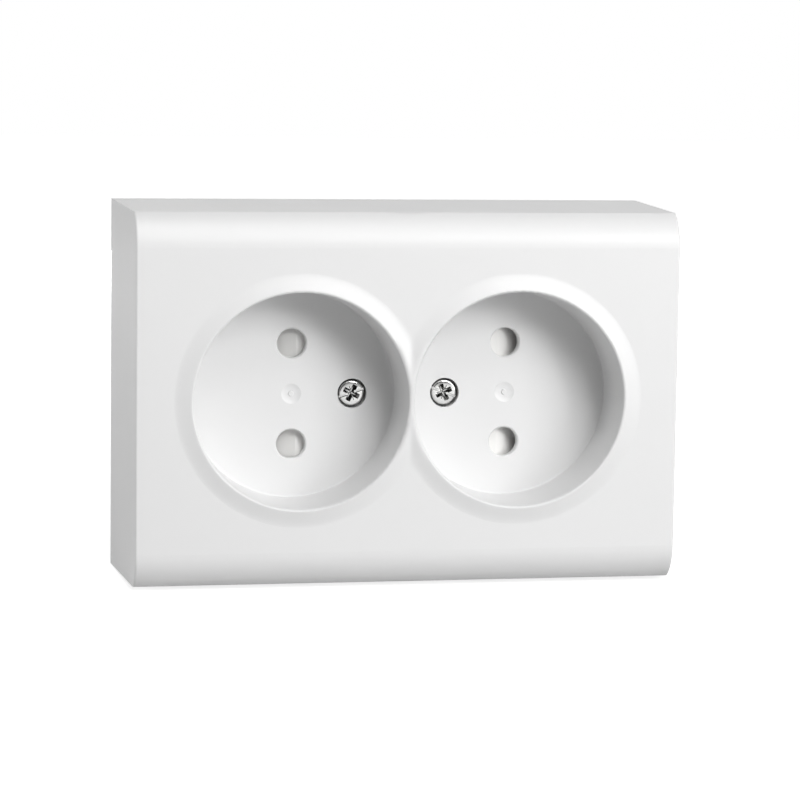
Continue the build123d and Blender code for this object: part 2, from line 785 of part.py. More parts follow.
with BuildPart() as clamp_screws:
    with BuildSketch(face_plane(clamp_boss_height - clamp_screw_depth, 0, -clamp_offset)):
        with Locations((-clamp_screw_spacing / 2, 0), (clamp_screw_spacing / 2, 0)):
            Circle(clamp_screw_radius)
    extrude(amount=clamp_screw_depth + clamp_thickness)
    with BuildSketch(face_plane(clamp_top, 0, -clamp_offset)):
        with Locations((-clamp_screw_spacing / 2, 0), (clamp_screw_spacing / 2, 0)):
            Circle(clamp_head_radius)
    extrude(amount=clamp_head_height)
    with BuildSketch(face_plane(clamp_top + clamp_head_height, 0, -clamp_offset)):
        with Locations((-clamp_screw_spacing / 2, 0), (clamp_screw_spacing / 2, 0)):
            Rectangle(2 * clamp_head_radius, slot_width)
    extrude(amount=-slot_depth, mode=Mode.SUBTRACT)
clamp_screws.part.label = "cable_clamp_screws"
export_step(clamp_screws.part, "parts/cable_clamp_screws.step")
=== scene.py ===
"""Double two-pin wall socket: its finishes, threaded cover screws, wound springs and a pale studio.

Everything is in metres, in the frame of the solids: X to the right, Y into the wall and Z up. Meshes are
drawn in millimetres and scaled once, when they become objects.
"""

import logging
import math
from dataclasses import dataclass, field
from enum import Enum

import bpy
from mathutils import Matrix, Vector

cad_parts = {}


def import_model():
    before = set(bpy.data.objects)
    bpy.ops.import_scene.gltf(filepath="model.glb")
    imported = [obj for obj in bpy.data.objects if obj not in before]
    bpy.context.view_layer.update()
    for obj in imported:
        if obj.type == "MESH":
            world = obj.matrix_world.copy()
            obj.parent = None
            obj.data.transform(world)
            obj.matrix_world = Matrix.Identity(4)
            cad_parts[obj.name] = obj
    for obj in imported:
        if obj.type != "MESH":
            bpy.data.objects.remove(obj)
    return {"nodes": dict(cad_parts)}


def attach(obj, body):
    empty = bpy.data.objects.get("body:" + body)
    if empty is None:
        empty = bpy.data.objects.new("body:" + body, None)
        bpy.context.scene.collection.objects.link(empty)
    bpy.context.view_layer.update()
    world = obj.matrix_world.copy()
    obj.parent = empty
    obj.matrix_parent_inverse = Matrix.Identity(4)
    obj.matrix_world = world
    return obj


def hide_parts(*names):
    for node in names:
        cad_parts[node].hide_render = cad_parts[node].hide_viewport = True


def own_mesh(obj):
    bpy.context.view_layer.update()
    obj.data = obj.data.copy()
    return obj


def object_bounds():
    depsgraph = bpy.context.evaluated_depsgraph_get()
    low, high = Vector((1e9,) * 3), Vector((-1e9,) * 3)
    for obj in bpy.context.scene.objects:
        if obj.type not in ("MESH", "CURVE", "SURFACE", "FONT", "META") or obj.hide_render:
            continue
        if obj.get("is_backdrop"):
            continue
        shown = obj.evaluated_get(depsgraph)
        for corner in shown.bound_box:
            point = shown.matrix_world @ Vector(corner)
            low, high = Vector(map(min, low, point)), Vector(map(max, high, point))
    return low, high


LOG = logging.getLogger("wall_socket")
MM = 0.001
HOUSING = "housing"
# Most of a noise texture lies between these two values.
NOISE_LOW, NOISE_HIGH = 0.3, 0.7

Point = tuple[float, float, float]
Face = tuple[int, ...]
Colour = tuple[float, float, float]
Profile = list[tuple[float, float]]


class Grain(Enum):
    """Way in which the fine lines of a metal run, as the stretch of its texture."""

    EVEN = (1.0, 1.0, 1.0)
    ALONG_X = (0.08, 1.0, 1.0)
    ALONG_Y = (1.0, 0.08, 1.0)


class Side(Enum):
    """Well of the socket, by the sign of its place along X."""

    LEFT = -1
    RIGHT = 1

    @property
    def word(self) -> str:
        """Name of the side as the pieces carry it."""
        return self.name.lower()


class Graph:
    """Short way to add and join the nodes of one node tree."""

    def __init__(self, tree: bpy.types.NodeTree) -> None:
        """Keep the node tree of a material, a world or a group."""
        self.tree = tree

    def add(self, kind: str, values: dict | None = None, **settings: object) -> bpy.types.Node:
        """Add a node.

        Args:
            kind: Type name of the node.
            values: Constant values by the name or the number of the input socket.
            settings: Properties of the node itself.

        Returns:
            The new node.
        """
        node = self.tree.nodes.new(kind)
        for name, value in settings.items():
            setattr(node, name, value)
        for key, value in (values or {}).items():
            node.inputs[key].default_value = value
        return node

    def join(self, source: bpy.types.NodeSocket, target: bpy.types.NodeSocket) -> None:
        """Link an output socket to an input socket."""
        self.tree.links.new(source, target)

    def mix(
        self, kind: str, **settings: object
    ) -> tuple[bpy.types.NodeSocket, bpy.types.NodeSocket, bpy.types.NodeSocket, bpy.types.NodeSocket]:
        """Add a mix node.

        Args:
            kind: What it mixes, RGBA or VECTOR.
            settings: Other properties of the node.

        Returns:
            The sockets of its factor, its first and second source and its result.
        """
        node = self.add("ShaderNodeMix", data_type=kind, **settings)
        first, second = (socket for socket in node.inputs if socket.type == kind and socket.enabled)
        result = next(socket for socket in node.outputs if socket.type == kind and socket.enabled)
        return node.inputs["Factor"], first, second, result


class Effects:
    """Node groups that several materials share, each built once."""

    def __init__(self) -> None:
        """Build the groups."""
        self.skin = self._moulded_skin()
        self.metal = self._worked_metal()

    @staticmethod
    def _start(
        name: str, inputs: dict[str, float], outputs: list[str]
    ) -> tuple[Graph, bpy.types.Node, bpy.types.Node]:
        """Make an empty group with its sockets.

        Args:
            name: Name of the group.
            inputs: Input names with their plain values.
            outputs: Output names.

        Returns:
            The graph of the group, its input node and its output node.
        """
        tree = bpy.data.node_groups.new(name, "ShaderNodeTree")
        for label, value in inputs.items():
            socket = tree.interface.new_socket(label, in_out="INPUT", socket_type="NodeSocketFloat")
            socket.default_value = value
        for label in outputs:
            tree.interface.new_socket(label, in_out="OUTPUT", socket_type="NodeSocketFloat")
        graph = Graph(tree)
        return graph, graph.add("NodeGroupInput"), graph.add("NodeGroupOutput")

    @staticmethod
    def _roughness(
        graph: Graph, given: bpy.types.Node, noise: bpy.types.NodeSocket, result: bpy.types.Node
    ) -> None:
        """Spread a noise between the group's smoothest and roughest value.

        Args:
            graph: The group's nodes.
            given: Its input node.
            noise: Noise that sets the roughness.
            result: Its output node.
        """
        spread = graph.add("ShaderNodeMapRange", {"From Min": NOISE_LOW, "From Max": NOISE_HIGH})
        graph.join(noise, spread.inputs["Value"])
        graph.join(given.outputs["Smoothest"], spread.inputs["To Min"])
        graph.join(given.outputs["Roughest"], spread.inputs["To Max"])
        graph.join(spread.outputs["Result"], result.inputs["Roughness"])

    def _moulded_skin(self) -> bpy.types.NodeTree:
        """Fine grain of a moulding: it breaks up the gloss and gives a very shallow relief.

        Returns:
            Group with the inputs Grain Scale, Flow Scale, Smoothest and Roughest and the outputs
            Roughness and Relief.
        """
        fine_share, broad_share = 0.4, 0.6
        graph, given, result = self._start(
            "moulded_skin",
            {"Grain Scale": 4000.0, "Flow Scale": 60.0, "Smoothest": 0.3, "Roughest": 0.4},
            ["Roughness", "Relief"],
        )
        place = graph.add("ShaderNodeTexCoord")
        fine = graph.add("ShaderNodeTexNoise", {"Detail": 2.0, "Roughness": 0.5})
        broad = graph.add("ShaderNodeTexNoise", {"Detail": 3.0, "Roughness": 0.55})
        for noise, scale in ((fine, "Grain Scale"), (broad, "Flow Scale")):
            graph.join(place.outputs["Object"], noise.inputs["Vector"])
            graph.join(given.outputs[scale], noise.inputs["Scale"])
        share = graph.add("ShaderNodeMath", {1: broad_share}, operation="MULTIPLY")
        graph.join(broad.outputs["Fac"], share.inputs[0])
        both = graph.add("ShaderNodeMath", {1: fine_share}, operation="MULTIPLY_ADD")
        graph.join(fine.outputs["Fac"], both.inputs[0])
        graph.join(share.outputs[0], both.inputs[2])
        self._roughness(graph, given, both.outputs[0], result)
        graph.join(fine.outputs["Fac"], result.inputs["Relief"])
        return graph.tree

    def _worked_metal(self) -> bpy.types.NodeTree:
        """Rolled, drawn or plated metal: lines along one way, and small dull patches.

        Returns:
            Group with the inputs Line Scale, Stretch X to Z, Smoothest and Roughest and the outputs
            Roughness, Relief and Dullness.
        """
        graph, given, result = self._start(
            "worked_metal",
            {
                "Line Scale": 2500.0,
                "Stretch X": 1.0,
                "Stretch Y": 1.0,
                "Stretch Z": 1.0,
                "Smoothest": 0.2,
                "Roughest": 0.35,
            },
            ["Roughness", "Relief", "Dullness"],
        )
        place = graph.add("ShaderNodeTexCoord")
        stretch = graph.add("ShaderNodeCombineXYZ")
        for axis in "XYZ":
            graph.join(given.outputs[f"Stretch {axis}"], stretch.inputs[axis])
        drawn = graph.add("ShaderNodeVectorMath", operation="MULTIPLY")
        graph.join(place.outputs["Object"], drawn.inputs[0])
        graph.join(stretch.outputs["Vector"], drawn.inputs[1])
        lines = graph.add("ShaderNodeTexNoise", {"Detail": 4.0, "Roughness": 0.6})
        graph.join(drawn.outputs["Vector"], lines.inputs["Vector"])
        graph.join(given.outputs["Line Scale"], lines.inputs["Scale"])
        patches = graph.add("ShaderNodeTexNoise", {"Scale": 350.0, "Detail": 3.0, "Roughness": 0.6})
        graph.join(place.outputs["Object"], patches.inputs["Vector"])
        dull = graph.add("ShaderNodeMapRange", {"From Min": 0.42, "From Max": 0.72})
        graph.join(patches.outputs["Fac"], dull.inputs["Value"])
        self._roughness(graph, given, lines.outputs["Fac"], result)
        graph.join(lines.outputs["Fac"], result.inputs["Relief"])
        graph.join(dull.outputs["Result"], result.inputs["Dullness"])
        return graph.tree


@dataclass(frozen=True)
class Finish:
    """What all finishes have: a name, the slot that takes it and a roughness that varies."""

    name: str
    slot: str
    smoothest: float
    roughest: float

    def _start(self) -> tuple[bpy.types.Material, Graph, bpy.types.Node]:
        """Make the empty material.

        Returns:
            The material, its nodes and its shader.
        """
        made = bpy.data.materials.new(self.name)
        made.use_nodes = True
        return made, Graph(made.node_tree), made.node_tree.nodes["Principled BSDF"]

    def _surface(
        self, graph: Graph, effect: bpy.types.Node, shader: bpy.types.Node, strength: float, relief: float
    ) -> bpy.types.Node:
        """Join an effect's roughness and relief to the shader.

        Args:
            graph: The material's nodes.
            effect: Node of the shared group.
            shader: The material's shader.
            strength: Strength of the relief.
            relief: Height of the relief.

        Returns:
            The bump node.
        """
        effect.inputs["Smoothest"].default_value = self.smoothest
        effect.inputs["Roughest"].default_value = self.roughest
        bump = graph.add("ShaderNodeBump", {"Strength": strength, "Distance": relief})
        graph.join(effect.outputs["Relief"], bump.inputs["Height"])
        graph.join(effect.outputs["Roughness"], shader.inputs["Roughness"])
        graph.join(bump.outputs["Normal"], shader.inputs["Normal"])
        return bump


@dataclass(frozen=True)
class Plastic(Finish):
    """Finish of a moulded plastic.

    A seam blend above nought rounds the light over the seam between the two collars by that radius. It
    works in full up to the seam core from the middle plane, and ends at the seam edge.
    """

    colour: Colour
    grain_scale: float = 4000.0
    relief: float = 0.000004
    relief_strength: float = 0.35
    reflection: float = 1.46
    seam_blend: float = 0.0
    seam_core: float = 0.002
    seam_edge: float = 0.0035

    def material(self, effects: Effects) -> bpy.types.Material:
        """Build the material.

        Args:
            effects: Shared node groups.

        Returns:
            The material.
        """
        made, graph, shader = self._start()
        shader.inputs["Base Color"].default_value = (*self.colour, 1.0)
        shader.inputs["IOR"].default_value = self.reflection
        skin = graph.add("ShaderNodeGroup", node_tree=effects.skin)
        skin.inputs["Grain Scale"].default_value = self.grain_scale
        bump = self._surface(graph, skin, shader, self.relief_strength, self.relief)
        if self.seam_blend > 0:
            graph.join(self._seam_normal(graph), bump.inputs["Normal"])
        return made

    def _seam_normal(self, graph: Graph) -> bpy.types.NodeSocket:
        """Round the seam where the two collars meet in the middle of the cover.

        Args:
            graph: The material's nodes.

        Returns:
            The surface normal, blended over the seam and untouched elsewhere.
        """
        place = graph.add("ShaderNodeTexCoord")
        parts = graph.add("ShaderNodeSeparateXYZ")
        sideways = graph.add("ShaderNodeMath", operation="ABSOLUTE")
        near = graph.add(
            "ShaderNodeMapRange",
            {"From Min": self.seam_edge, "From Max": self.seam_core, "To Min": 0.0, "To Max": 1.0},
            interpolation_type="SMOOTHSTEP",
        )
        rounded = graph.add("ShaderNodeBevel", {"Radius": self.seam_blend}, samples=8)
        plain = graph.add("ShaderNodeNewGeometry")
        factor, first, second, normal = graph.mix("VECTOR")
        graph.join(place.outputs["Object"], parts.inputs["Vector"])
        graph.join(parts.outputs["X"], sideways.inputs[0])
        graph.join(sideways.outputs["Value"], near.inputs["Value"])
        graph.join(near.outputs["Result"], factor)
        graph.join(plain.outputs["Normal"], first)
        graph.join(rounded.outputs["Normal"], second)
        return normal


@dataclass(frozen=True)
class Metal(Finish):
    """Finish of a rolled, drawn or plated metal.

    Above a reach of nought, shade is painted into its colour where something stands within that reach, in
    its own recesses and beside
    the pieces round it: a surface is fully bright from the open share on, and keeps the shade share of
    its colour below the shut share.
    """

    bright: Colour
    dull: Colour
    grain: Grain = Grain.EVEN
    line_scale: float = 2500.0
    relief: float = 0.000006
    relief_strength: float = 0.4
    # Painted shade: how near things must stand to darken the colour, and how much colour stays where it
    # is shut in.
    painted_shade_reach: float = 0.0
    painted_shade_share: float = 0.1
    shut_share: float = 0.12
    open_share: float = 0.62

    def material(self, effects: Effects) -> bpy.types.Material:
        """Build the material.

        Args:
            effects: Shared node groups.

        Returns:
            The material.
        """
        made, graph, shader = self._start()
        shader.inputs["Metallic"].default_value = 1.0
        worked = graph.add("ShaderNodeGroup", node_tree=effects.metal)
        for axis, share in zip("XYZ", self.grain.value):
            worked.inputs[f"Stretch {axis}"].default_value = share
        worked.inputs["Line Scale"].default_value = self.line_scale
        factor, first, second, colour = graph.mix("RGBA")
        first.default_value = (*self.bright, 1.0)
        second.default_value = (*self.dull, 1.0)
        graph.join(worked.outputs["Dullness"], factor)
        # Painted shade: the colour is darkened in recesses and beside other pieces.
        if self.painted_shade_reach > 0:
            colour = self._paint_shade(graph, colour)
        graph.join(colour, shader.inputs["Base Color"])
        self._surface(graph, worked, shader, self.relief_strength, self.relief)
        return made

    def _paint_shade(self, graph: Graph, colour: bpy.types.NodeSocket) -> bpy.types.NodeSocket:
        """Paint shade into the metal's colour where it lies deep in a recess or close to the pieces round
        it.

        Args:
            graph: The material's nodes.
            colour: Colour of the open metal.

        Returns:
            The colour with the painted shade.
        """
        # Painted shade: the less open the surface is to what stands round it, the darker its colour is
        # made.
        openness = graph.add(
            "ShaderNodeAmbientOcclusion", {"Distance": self.painted_shade_reach}, samples=8
        )
        kept = graph.add(
            "ShaderNodeMapRange",
            {
                "From Min": self.shut_share,
                "From Max": self.open_share,
                "To Min": self.painted_shade_share,
                "To Max": 1.0,
            },
            interpolation_type="SMOOTHSTEP",
        )
        factor, first, second, painted_shade_colour = graph.mix("RGBA", blend_type="MULTIPLY")
        factor.default_value = 1.0
        graph.join(openness.outputs["AO"], kept.inputs["Value"])
        graph.join(colour, first)
        graph.join(kept.outputs["Result"], second)
        return painted_shade_colour


BRASS, DULL_BRASS = (0.78, 0.57, 0.26), (0.62, 0.43, 0.19)
COVER_WHITE = Plastic(
    name="cover_plastic",
    slot="cover_plastic",
    smoothest=0.34,
    roughest=0.42,
    colour=(0.74, 0.74, 0.74),
    seam_blend=0.0013,
)
BASE_WHITE = Plastic(
    name="base_plastic",
    slot="base_plastic",
    smoothest=0.5,
    roughest=0.62,
    colour=(0.74, 0.74, 0.73),
    grain_scale=2500.0,
    relief=0.00001,
)
SHUTTER_WHITE = Plastic(
    name="shutter_plastic",
    slot="shutter_plastic",
    smoothest=0.4,
    roughest=0.5,
    colour=(0.8, 0.795, 0.78),
)
SHEET_BRASS = Metal(
    name="sheet_brass",
    slot="brass_sheet",
    smoothest=0.22,
    roughest=0.38,
    bright=BRASS,
    dull=DULL_BRASS,
    grain=Grain.ALONG_X,
)
TURNED_BRASS = Metal(
    name="turned_brass",
    slot="brass_sheet",
    smoothest=0.2,
    roughest=0.34,
    bright=BRASS,
    dull=DULL_BRASS,
    grain=Grain.ALONG_Y,
)
PLATED_STEEL = Metal(
    name="plated_steel",
    slot="plated_steel",
    smoothest=0.1,
    roughest=0.2,
    bright=(0.78, 0.78, 0.77),
    dull=(0.6, 0.6, 0.6),
    line_scale=1800.0,
    # Painted shade within a millimetre of its recesses and of the pieces round it.
    painted_shade_reach=0.001,
)
SPRING_WIRE = Metal(
    name="spring_wire",
    slot="spring_steel",
    smoothest=0.25,
    roughest=0.4,
    bright=(0.6, 0.6, 0.61),
    dull=(0.42, 0.42, 0.43),
    grain=Grain.ALONG_X,
)


class Wardrobe:
    """Materials by finish, each made when it is first asked for."""

    def __init__(self) -> None:
        """Build the shared groups."""
        self.effects = Effects()
        self.made: dict[str, bpy.types.Material] = {}

    def dress(self, piece: bpy.types.Object, finish: Plastic | Metal) -> None:
        """Give a piece its only material.

        Args:
            piece: Mesh object.
            finish: Finish that the piece gets.
        """
        if finish.name not in self.made:
            self.made[finish.name] = finish.material(self.effects)
        piece.data.materials.clear()
        piece.data.materials.append(self.made[finish.name])
        LOG.info("%s gets %s", piece.name, finish.name)


def add_mesh(name: str, points: list[Point], faces: list[Face]) -> bpy.types.Object:
    """Make an object from points and faces.

    Args:
        name: Name of the object.
        points: Corners.
        faces: Corner numbers of each face, anticlockwise from outside.

    Returns:
        The linked object.
    """
    mesh = bpy.data.meshes.new(name)
    mesh.from_pydata(points, [], faces)
    mesh.validate()
    piece = bpy.data.objects.new(name, mesh)
    bpy.context.scene.collection.objects.link(piece)
    return piece


def smooth(piece: bpy.types.Object, angle: float) -> None:
    """Shade a mesh smooth, apart from its sharp edges.

    Args:
        piece: Mesh object.
        angle: Degrees from which an edge stays sharp.
    """
    piece.data.polygons.foreach_set("use_smooth", [True] * len(piece.data.polygons))
    piece.data.set_sharp_from_angle(angle=math.radians(angle))


def ringed(rows: int, sides: int) -> list[Face]:
    """Faces of a closed solid whose points lie in rings, one after the other.

    Args:
        rows: Number of rings.
        sides: Points in each ring, anticlockwise as seen from the last ring.

    Returns:
        The first cap, the walls and the last cap.
    """
    faces: list[Face] = [tuple(reversed(range(sides)))]
    for row in range(rows - 1):
        low, high = row * sides, (row + 1) * sides
        for k in range(sides):
            after = (k + 1) % sides
            faces.append((low + k, low + after, high + after, high + k))
    top = (rows - 1) * sides
    faces.append(tuple(range(top, top + sides)))
    return faces


def turned(profile: Profile, sides: int) -> tuple[list[Point], list[Face]]:
    """Turn a profile about the upright axis into a closed solid.

    Args:
        profile: Radius and height of each corner from the lower end to the upper end.
        sides: Number of sides.

    Returns:
        Points and faces.
    """
    points = [
        (radius * math.cos(angle), radius * math.sin(angle), height)
        for radius, height in profile
        for angle in (2 * math.pi * k / sides for k in range(sides))
    ]
    return points, ringed(len(profile), sides)


def tapered_bar(
    length: float, width: float, top: float, depth: float, tapers: tuple[float, float], turn: float
) -> tuple[list[Point], list[Face]]:
    """Bar with round ends that narrows downwards, for cutting slots and cross wings.

    Args:
        length: Length at the top.
        width: Width at the top.
        top: Height of the upper side.
        depth: Depth of the bar.
        tapers: How much the ends and the sides move in over the depth.
        turn: Turn about the upright axis in degrees.

    Returns:
        Points and faces.
    """
    end_steps = 6
    points: list[Point] = []
    for height, part in ((top - depth, 1.0), (top, 0.0)):
        reach, half = length / 2 - part * tapers[0], width / 2 - part * tapers[1]
        spread = math.asin(half / reach)
        for start in (turn, turn + 180.0):
            for k in range(end_steps + 1):
                angle = math.radians(start) + spread * (2 * k / end_steps - 1)
                points.append((reach * math.cos(angle), reach * math.sin(angle), height))
    count = len(points) // 2
    faces: list[Face] = [tuple(reversed(range(count))), tuple(range(count, 2 * count))]
    faces += [(k, (k + 1) % count, count + (k + 1) % count, count + k) for k in range(count)]
    return points, faces


def carve(solid: bpy.types.Object, cutters: list[bpy.types.Object]) -> None:
    """Cut solids out of a solid and delete the cutters.

    Args:
        solid: Closed mesh that is cut.
        cutters: Closed meshes that are taken away.
    """
    for cutter in cutters:
        step = solid.modifiers.new("cut", "BOOLEAN")
        step.operation = "DIFFERENCE"
        step.solver = "EXACT"
        step.object = cutter
        bpy.context.view_layer.update()
        shaped = bpy.data.meshes.new_from_object(
            solid.evaluated_get(bpy.context.evaluated_depsgraph_get())
        )
        solid.modifiers.clear()
        spent, solid.data = solid.data, shaped
        bpy.data.meshes.remove(spent)
        bpy.data.objects.remove(cutter)


def hand_in(piece: bpy.types.Object, node: str, finish: Metal, wardrobe: Wardrobe) -> None:
    """Dress a finer piece and let it stand for a solid of the housing.

    Args:
        piece: Finer piece.
        node: Name of the solid that it replaces.
        finish: Finish that the piece gets.
        wardrobe: Materials.
    """
    wardrobe.dress(piece, finish)
    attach(piece, HOUSING)
    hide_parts(node)


@dataclass
class CoverScrew:
    """Pan-head cover screw with a cross recess, a slot and a cut thread, in millimetres."""

    side: Side
    slot_turn: float
    seat_height: float = 20.5
    offset: float = 8.9
    head_radius: float = 2.5
    head_height: float = 1.7
    head_round: float = 0.5
    under_round: float = 0.08
    crown: float = 0.05
    thread_radius: float = 1.45
    thread_depth: float = 0.22
    thread_pitch: float = 0.5
    groove_share: float = 0.38
    plain_length: float = 1.2
    tip_chamfer: float = 0.4
    length: float = 11.0
    cross_span: float = 3.5
    cross_width: float = 1.1
    cross_depth: float = 1.35
    cross_tapers: tuple[float, float] = (0.7, 0.45)
    cone_radius: float = 1.0
    cone_tip: float = 0.08
    cone_extra: float = 0.2
    slot_width: float = 0.5
    slot_depth: float = 0.5
    slot_tapers: tuple[float, float] = (0.0, 0.02)
    tick_share: float = 0.8
    tick_width: float = 0.16
    tick_depth: float = 0.3
    tick_tapers: tuple[float, float] = (0.05, 0.03)
    above: float = 0.2
    sides: int = 64

    def _head(self) -> bpy.types.Object:
        """Pan head with a slightly crowned top, before its recesses are cut.

        Returns:
            The head.
        """
        round_steps, crown_steps = 8, 5
        rim = self.head_height - self.crown
        profile = [(self.head_radius - self.under_round, 0.0), (self.head_radius, self.under_round)]
        for k in range(round_steps + 1):
            angle = math.pi / 2 * k / round_steps
            radius = self.head_radius - self.head_round * (1 - math.cos(angle))
            profile.append((radius, rim - self.head_round * (1 - math.sin(angle))))
        flat = self.head_radius - self.head_round
        for k in range(1, crown_steps):
            radius = flat * (1 - k / crown_steps)
            profile.append((radius, rim + self.crown * (1 - (radius / flat) ** 2)))
        return add_mesh("cover_screw_head", *turned(profile, self.sides))

    def _cutters(self) -> list[bpy.types.Object]:
        """Tools for the recesses: the slot, a fine tick across it, two cross wings and their cone.

        Returns:
            The tools in the order in which they cut.
        """
        cone_sides = 24
        right_across = 3 * self.head_radius
        top = self.head_height + self.above
        bars = [
            (right_across, self.slot_width, self.slot_depth, self.slot_tapers, 0.0),
            (self.tick_share * self.cross_span, self.tick_width, self.tick_depth, self.tick_tapers, 90.0),
            (self.cross_span, self.cross_width, self.cross_depth, self.cross_tapers, 45.0),
            (self.cross_span, self.cross_width, self.cross_depth, self.cross_tapers, 135.0),
        ]
        tools = [
            tapered_bar(span, width, top, depth + self.above, tapers, turn)
            for span, width, depth, tapers, turn in bars
        ]
        tip_height = self.head_height - self.cross_depth - self.cone_extra
        tools.append(turned([(self.cone_tip, tip_height), (self.cone_radius, top)], cone_sides))
        return [add_mesh("cutter", *tool) for tool in tools]

    def _shank(self) -> bpy.types.Object:
        """Shank with a plain neck, a helical thread and a chamfered tip.

        Returns:
            The shank.
        """
        per_turn, rows_per_pitch = 32, 8
        rows = int(self.length / self.thread_pitch * rows_per_pitch)
        points: list[Point] = []
        for row in range(rows + 1):
            height = -self.length + self.length * row / rows
            fade = min(1.0, max(0.0, (-height - self.plain_length) / self.thread_pitch))
            tip = max(0.0, self.tip_chamfer - (height + self.length))
            for k in range(per_turn):
                phase = (height / self.thread_pitch - k / per_turn) % 1.0
                groove = max(0.0, 1.0 - abs(phase - 0.5) / self.groove_share)
                radius = self.thread_radius - self.thread_depth * groove * fade - tip
                angle = 2 * math.pi * k / per_turn
                points.append((radius * math.cos(angle), radius * math.sin(angle), height))
        return add_mesh("cover_screw_shank", points, ringed(rows + 1, per_turn))

    def build(self, wardrobe: Wardrobe) -> bpy.types.Object:
        """Build the screw in its place.

        Args:
            wardrobe: Materials.

        Returns:
            The finished piece.
        """
        head, shank = self._head(), self._shank()
        carve(head, self._cutters())
        smooth(head, angle=28.0)
        smooth(shank, angle=60.0)
        with bpy.context.temp_override(
            active_object=head, selected_editable_objects=[head, shank], object=head
        ):
            bpy.ops.object.join()
        place = (
            Matrix.Translation((self.side.value * self.offset * MM, -self.seat_height * MM, 0.0))
            @ Matrix.Rotation(math.radians(90), 4, "X")
            @ Matrix.Rotation(math.radians(self.slot_turn), 4, "Z")
            @ Matrix.Scale(MM, 4)
        )
        head.data.transform(place)
        name = f"cover_screw_{self.side.word}"
        head.name = f"{name}_threaded"
        hand_in(head, name, PLATED_STEEL, wardrobe)
        LOG.info("built %s", head.name)
        return head


@dataclass
class ShutterSpring:
    """Wound wire between a shutter and its seat, with closed ground ends, in millimetres.

    The start and the seat are measured from the middle of the well towards the middle of the socket.
    """

    side: Side
    well_offset: float = 20.5
    start: float = -2.2
    seat: float = 7.0
    height: float = 18.65
    outer_radius: float = 1.3
    wire_radius: float = 0.16
    turns: float = 7.0
    closed_turns: float = 0.8
    closed_pitch: float = 2.1
    wire_sides: int = 8
    steps_per_turn: int = 24
    solid_share: float = 0.348

    def _lift(self, turn: float) -> float:
        """How far along the spring the wire is, with its closed ends.

        Args:
            turn: Number of turns from the start.

        Returns:
            The distance from the wire's first centre.
        """
        body = self.turns - 2 * self.closed_turns
        reach = self.seat - self.start - 2 * self.wire_radius
        closed = self.closed_pitch * self.wire_radius * self.closed_turns
        open_pitch = (reach - 2 * closed) / body
        if turn < self.closed_turns:
            return closed * turn / self.closed_turns
        if turn > self.turns - self.closed_turns:
            return reach - closed * (self.turns - turn) / self.closed_turns
        return closed + open_pitch * (turn - self.closed_turns)

    def _centres(self) -> list[Vector]:
        """Centres of the wire along its helix.

        Returns:
            The centres, from the shutter's end to the seat.
        """
        mean_radius = self.outer_radius - self.wire_radius
        steps = int(self.turns * self.steps_per_turn)
        centres = []
        for k in range(steps + 1):
            turn = self.turns * k / steps
            angle = 2 * math.pi * turn
            x = self.side.value * self.well_offset - self.side.value * (
                self.start + self.wire_radius + self._lift(turn)
            )
            y = -self.height + mean_radius * math.cos(angle)
            centres.append(Vector((x, y, mean_radius * math.sin(angle))))
        return centres

    def build(self, wardrobe: Wardrobe) -> bpy.types.Object:
        """Sweep the wire along its helix, dress it and let it stand for the spring among the solids.

        Args:
            wardrobe: Materials.

        Returns:
            The finished piece.
        """
        centres = self._centres()
        last = len(centres) - 1
        points: list[Point] = []
        for k, centre in enumerate(centres):
            ahead = centres[min(k + 1, last)] - centres[max(k - 1, 0)]
            ahead.normalize()
            outward = Vector((0.0, centre.y + self.height, centre.z)).normalized()
            across = ahead.cross(outward).normalized()
            outward = across.cross(ahead)
            for side in range(self.wire_sides):
                angle = 2 * math.pi * side / self.wire_sides
                point = centre + self.wire_radius * (math.cos(angle) * outward + math.sin(angle) * across)
                points.append(tuple(point * MM))
        name = f"shutter_spring_{self.side.word}"
        piece = add_mesh(f"{name}_wound", points, ringed(len(centres), self.wire_sides))
        smooth(piece, angle=60.0)
        hand_in(piece, name, SPRING_WIRE, wardrobe)
        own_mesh(piece)
        LOG.info("built %s", piece.name)
        return piece


@dataclass
class Mouldings:
    """Plastic pieces that come over from the solids."""

    finishes: dict[str, Plastic] = field(
        default_factory=lambda: {
            "cover": COVER_WHITE,
            "base": BASE_WHITE,
            "cable_clamp": BASE_WHITE,
            "shutter_retainer_left": BASE_WHITE,
            "shutter_retainer_right": BASE_WHITE,
            "shutter_left": SHUTTER_WHITE,
            "shutter_right": SHUTTER_WHITE,
        }
    )

    def dress(self, nodes: dict[str, bpy.types.Object], wardrobe: Wardrobe) -> None:
        """Give each moulding among the solids its plastic."""
        for name, finish in self.finishes.items():
            wardrobe.dress(nodes[name], finish)


@dataclass
class MetalParts:
    """Metal pieces that come over from the solids, by the start of their names."""

    finishes: dict[str, Metal] = field(
        default_factory=lambda: {
            "pole_strip": SHEET_BRASS,
            "threaded_insert": TURNED_BRASS,
            "contact_clip": SPRING_WIRE,
            "shutter_spring": SPRING_WIRE,
            "terminal_": PLATED_STEEL,
            "retainer_screws": PLATED_STEEL,
            "cable_clamp_screws": PLATED_STEEL,
            "cover_screw": PLATED_STEEL,
        }
    )

    def dress(self, nodes: dict[str, bpy.types.Object], wardrobe: Wardrobe) -> None:
        """Give each metal piece its finish.

        Args:
            nodes: Solids by name.
            wardrobe: Materials.
        """
        for name, piece in nodes.items():
            for start, finish in self.finishes.items():
                if name.startswith(start):
                    wardrobe.dress(piece, finish)


